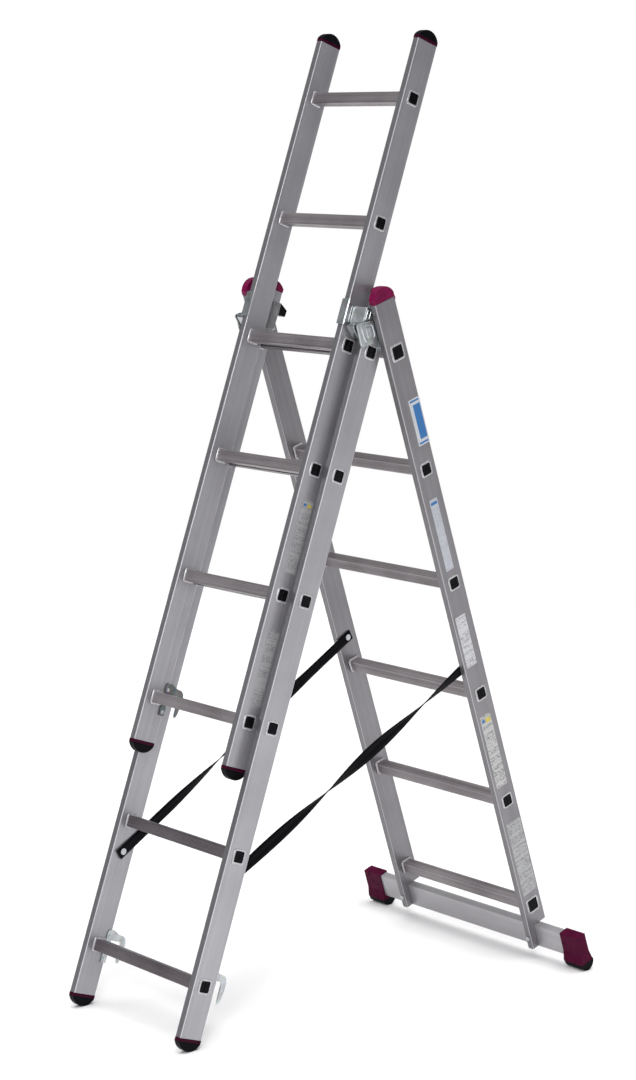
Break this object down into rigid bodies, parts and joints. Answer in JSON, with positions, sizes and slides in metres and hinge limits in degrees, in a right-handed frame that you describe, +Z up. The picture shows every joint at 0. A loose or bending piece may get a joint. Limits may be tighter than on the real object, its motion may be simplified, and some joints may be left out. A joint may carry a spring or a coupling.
{
  "type": "extension ladder",
  "caption": "Aluminium combination ladder standing as an A-frame, with an extended upper section, hooks, spreader straps and a stabiliser bar.",
  "frame": {"origin": "on the floor, under the middle of the ladder's overall box", "axes": "+X along the rungs, +Y from the front legs towards the rear legs with the stabiliser bar, +Z up"},
  "size_m": [0.733, 1.095, 2.1604],
  "materials": {
    "stile_aluminium": "satin extruded aluminium with fine die lines",
    "rung_aluminium": "ribbed extruded aluminium",
    "bar_aluminium": "satin extruded aluminium",
    "zinc_plated_steel": "pressed, bright zinc plated",
    "black_plastic": "moulded, slightly textured",
    "magenta_plastic": "moulded, glossy dark magenta",
    "black_rubber": "moulded, matt",
    "black_webbing": "woven polyester webbing"
  },
  "bodies": {
    "middle_section": {"guide_block_left": "black_plastic", "guide_block_right": "black_plastic", "guide_bracket_left": "zinc_plated_steel", "guide_bracket_right": "zinc_plated_steel", "hinge_pin_left": "zinc_plated_steel", "hinge_pin_right": "zinc_plated_steel", "middle_foot_cap_left": "black_plastic", "middle_foot_cap_right": "black_plastic", "middle_hook_left": "zinc_plated_steel", "middle_hook_right": "zinc_plated_steel", "middle_rung_1": "rung_aluminium", "middle_rung_2": "rung_aluminium", "middle_rung_3": "rung_aluminium", "middle_rung_4": "rung_aluminium", "middle_rung_5": "rung_aluminium", "middle_rung_6": "rung_aluminium", "middle_stile_left": "stile_aluminium", "middle_stile_right": "stile_aluminium", "middle_strap_rivet_left": "zinc_plated_steel", "middle_strap_rivet_right": "zinc_plated_steel", "middle_top_cap_left": "magenta_plastic", "middle_top_cap_right": "magenta_plastic", "strap_left": "black_webbing", "strap_right": "black_webbing"},
    "upper_section": {"upper_foot_cap_left": "black_plastic", "upper_foot_cap_right": "black_plastic", "upper_hook_left": "zinc_plated_steel", "upper_hook_right": "zinc_plated_steel", "upper_rung_1": "rung_aluminium", "upper_rung_2": "rung_aluminium", "upper_rung_3": "rung_aluminium", "upper_rung_4": "rung_aluminium", "upper_rung_5": "rung_aluminium", "upper_rung_6": "rung_aluminium", "upper_stile_left": "stile_aluminium", "upper_stile_right": "stile_aluminium", "upper_top_cap_left": "black_plastic", "upper_top_cap_right": "black_plastic"},
    "base_section": {"base_hinge_plate_left": "zinc_plated_steel", "base_hinge_plate_right": "zinc_plated_steel", "base_rung_1": "rung_aluminium", "base_rung_2": "rung_aluminium", "base_rung_3": "rung_aluminium", "base_rung_4": "rung_aluminium", "base_rung_5": "rung_aluminium", "base_rung_6": "rung_aluminium", "base_stile_left": "stile_aluminium", "base_stile_right": "stile_aluminium", "base_strap_rivet_left": "zinc_plated_steel", "base_strap_rivet_right": "zinc_plated_steel", "base_top_cap_left": "magenta_plastic", "base_top_cap_right": "magenta_plastic", "stabiliser_bar": "bar_aluminium", "stabiliser_bolt_left": "zinc_plated_steel", "stabiliser_bolt_right": "zinc_plated_steel", "stabiliser_foot_left": "magenta_plastic", "stabiliser_foot_right": "magenta_plastic", "stabiliser_sole_left": "black_rubber", "stabiliser_sole_right": "black_rubber"}
  },
  "joints": [
    {"name": "a_frame_fold", "type": "hinge", "parent": "middle_section", "child": "base_section", "pos_m": [0, 0.00332, 1.4669], "axis": [-1, 0, 0], "range_deg": [0, 35], "deforming": ["strap_left", "strap_right"]},
    {"name": "section_slide", "type": "slide", "parent": "middle_section", "child": "upper_section", "axis": [0, 0.3256, 0.9455], "range_m": [-0.56, 0.28]}
  ]
}
